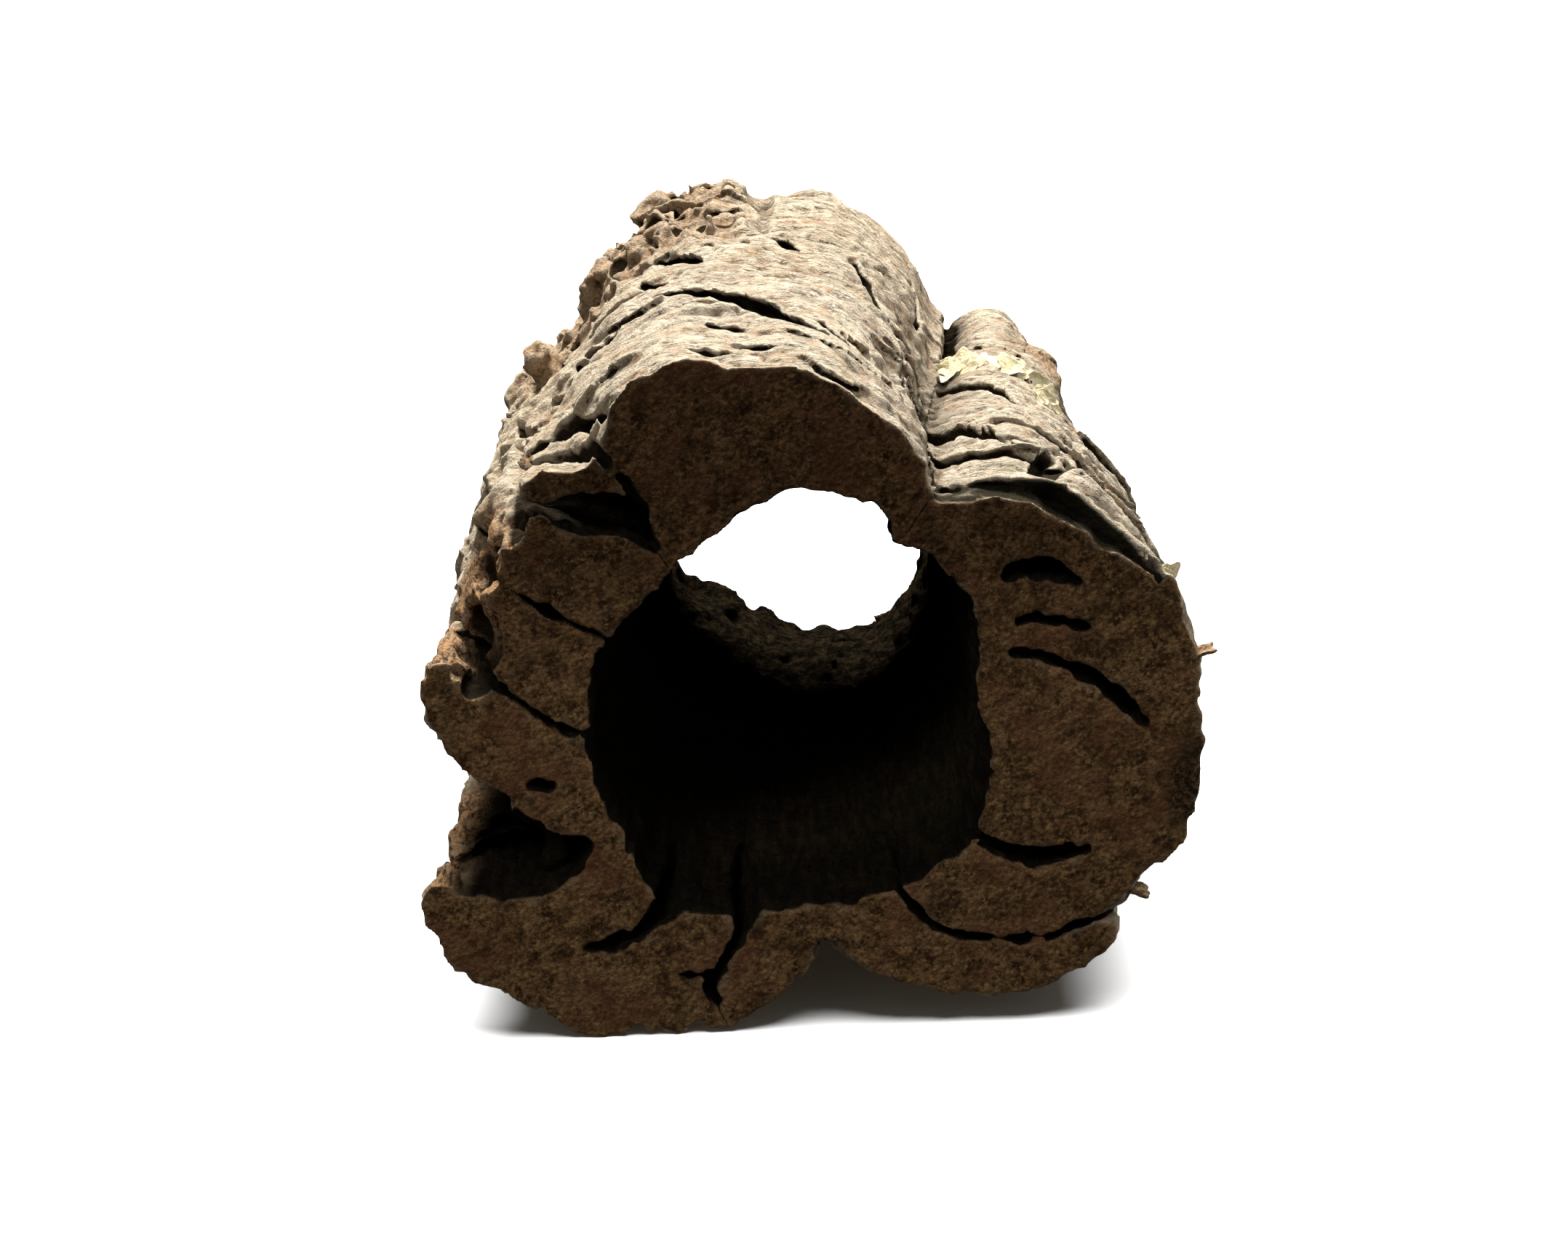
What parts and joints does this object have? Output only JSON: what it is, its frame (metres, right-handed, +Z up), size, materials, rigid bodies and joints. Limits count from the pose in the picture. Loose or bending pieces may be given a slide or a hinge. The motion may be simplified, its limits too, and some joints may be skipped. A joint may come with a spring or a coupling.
{
  "type": "cork bark round",
  "caption": "Hollow round of natural cork bark with thick fissured walls, two sawn ends and a rough, ledged outer surface; it lies on two small flats with its hollow level.",
  "frame": {"origin": "bottom centre of the bounding box, on the plane the round lies on", "axes": "+Y runs along the hollow from the front saw cut to the back one, +X to the right seen from the front, +Z up"},
  "size_m": [0.1856, 0.2268, 0.1644],
  "materials": {
    "bark": "rough cork bark, grey-beige outside, granular brown on the saw cuts, dark in the hollow",
    "loose_bark": "rough flaking bark, redder than the slabs",
    "lichen": "dry, matt, pale yellow-green crust"
  },
  "bodies": {
    "root": {"crown_slab": "bark", "upper_left_slab": "bark", "mid_left_slab": "bark", "lower_left_slab": "bark", "bottom_slab": "bark", "right_slab": "bark", "notch_curl": "bark", "left_knob": "bark", "right_knob": "bark", "notch_stub": "loose_bark", "rim_flake": "loose_bark", "hanging_chip": "loose_bark", "side_flake": "loose_bark", "lichen_large": "lichen", "lichen_ridge": "lichen", "lichen_shoulder": "lichen", "lichen_drop": "lichen", "lichen_side": "lichen", "lichen_rim": "lichen"}
  },
  "joints": []
}
